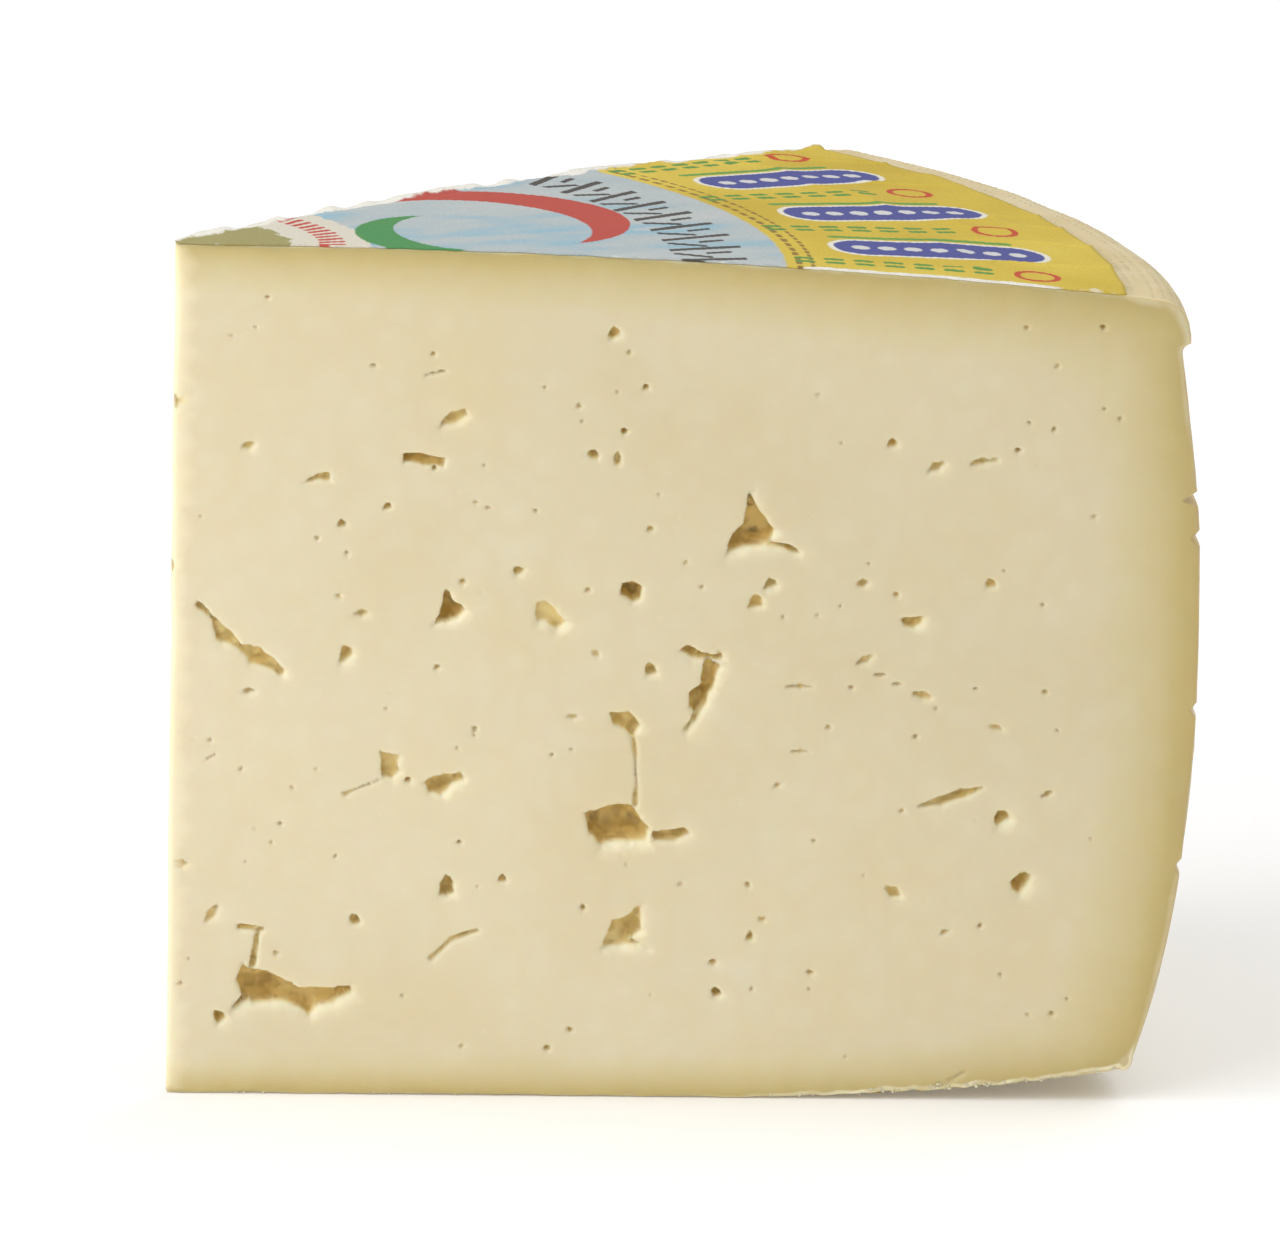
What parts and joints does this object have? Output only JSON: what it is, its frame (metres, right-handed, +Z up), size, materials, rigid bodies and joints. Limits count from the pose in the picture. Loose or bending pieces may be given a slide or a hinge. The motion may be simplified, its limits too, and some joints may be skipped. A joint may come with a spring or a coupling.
{
  "type": "cheese wedge",
  "caption": "Wedge cut from a pressed cow's milk cheese wheel, with flat cut faces full of small openings, an embossed rind and part of a round paper label on its domed top.",
  "frame": {"origin": "middle of the bounding box, on the flat underside that the wedge stands on", "axes": "+X from the tip to the rind along the middle of the wedge, +Z up, so the two cut faces stand upright at 22.5 degrees either side of the XZ plane"},
  "size_m": [0.17, 0.13, 0.1436],
  "materials": {
    "cheese_paste": "knife-cut pressed cheese, soft satin, slightly translucent, tan towards the rind",
    "label_paper": "thin printed paper stuck to the rind, taking its fine embossing"
  },
  "bodies": {
    "root": {"cheese": "cheese_paste", "label": "label_paper"}
  },
  "joints": []
}
